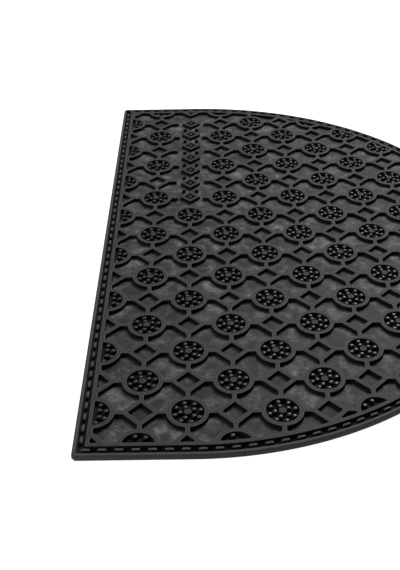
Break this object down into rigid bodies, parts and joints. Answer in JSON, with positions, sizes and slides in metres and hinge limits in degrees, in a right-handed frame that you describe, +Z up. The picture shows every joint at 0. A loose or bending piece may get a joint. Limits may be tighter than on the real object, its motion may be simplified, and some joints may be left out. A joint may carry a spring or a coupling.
{
  "type": "half round doormat",
  "caption": "Half round doormat moulded in rubber, with a raised lattice of rings and diamonds, a channelled border and a flat underside.",
  "frame": {"origin": "middle of the mat's box, on the surface that the flat underside lies on", "axes": "+X from the straight back edge to the round front edge, +Y along the straight edge, +Z up"},
  "size_m": [0.4, 0.6, 0.0055],
  "materials": {
    "rubber": "matte"
  },
  "bodies": {
    "root": {"mat": "rubber"}
  },
  "joints": []
}
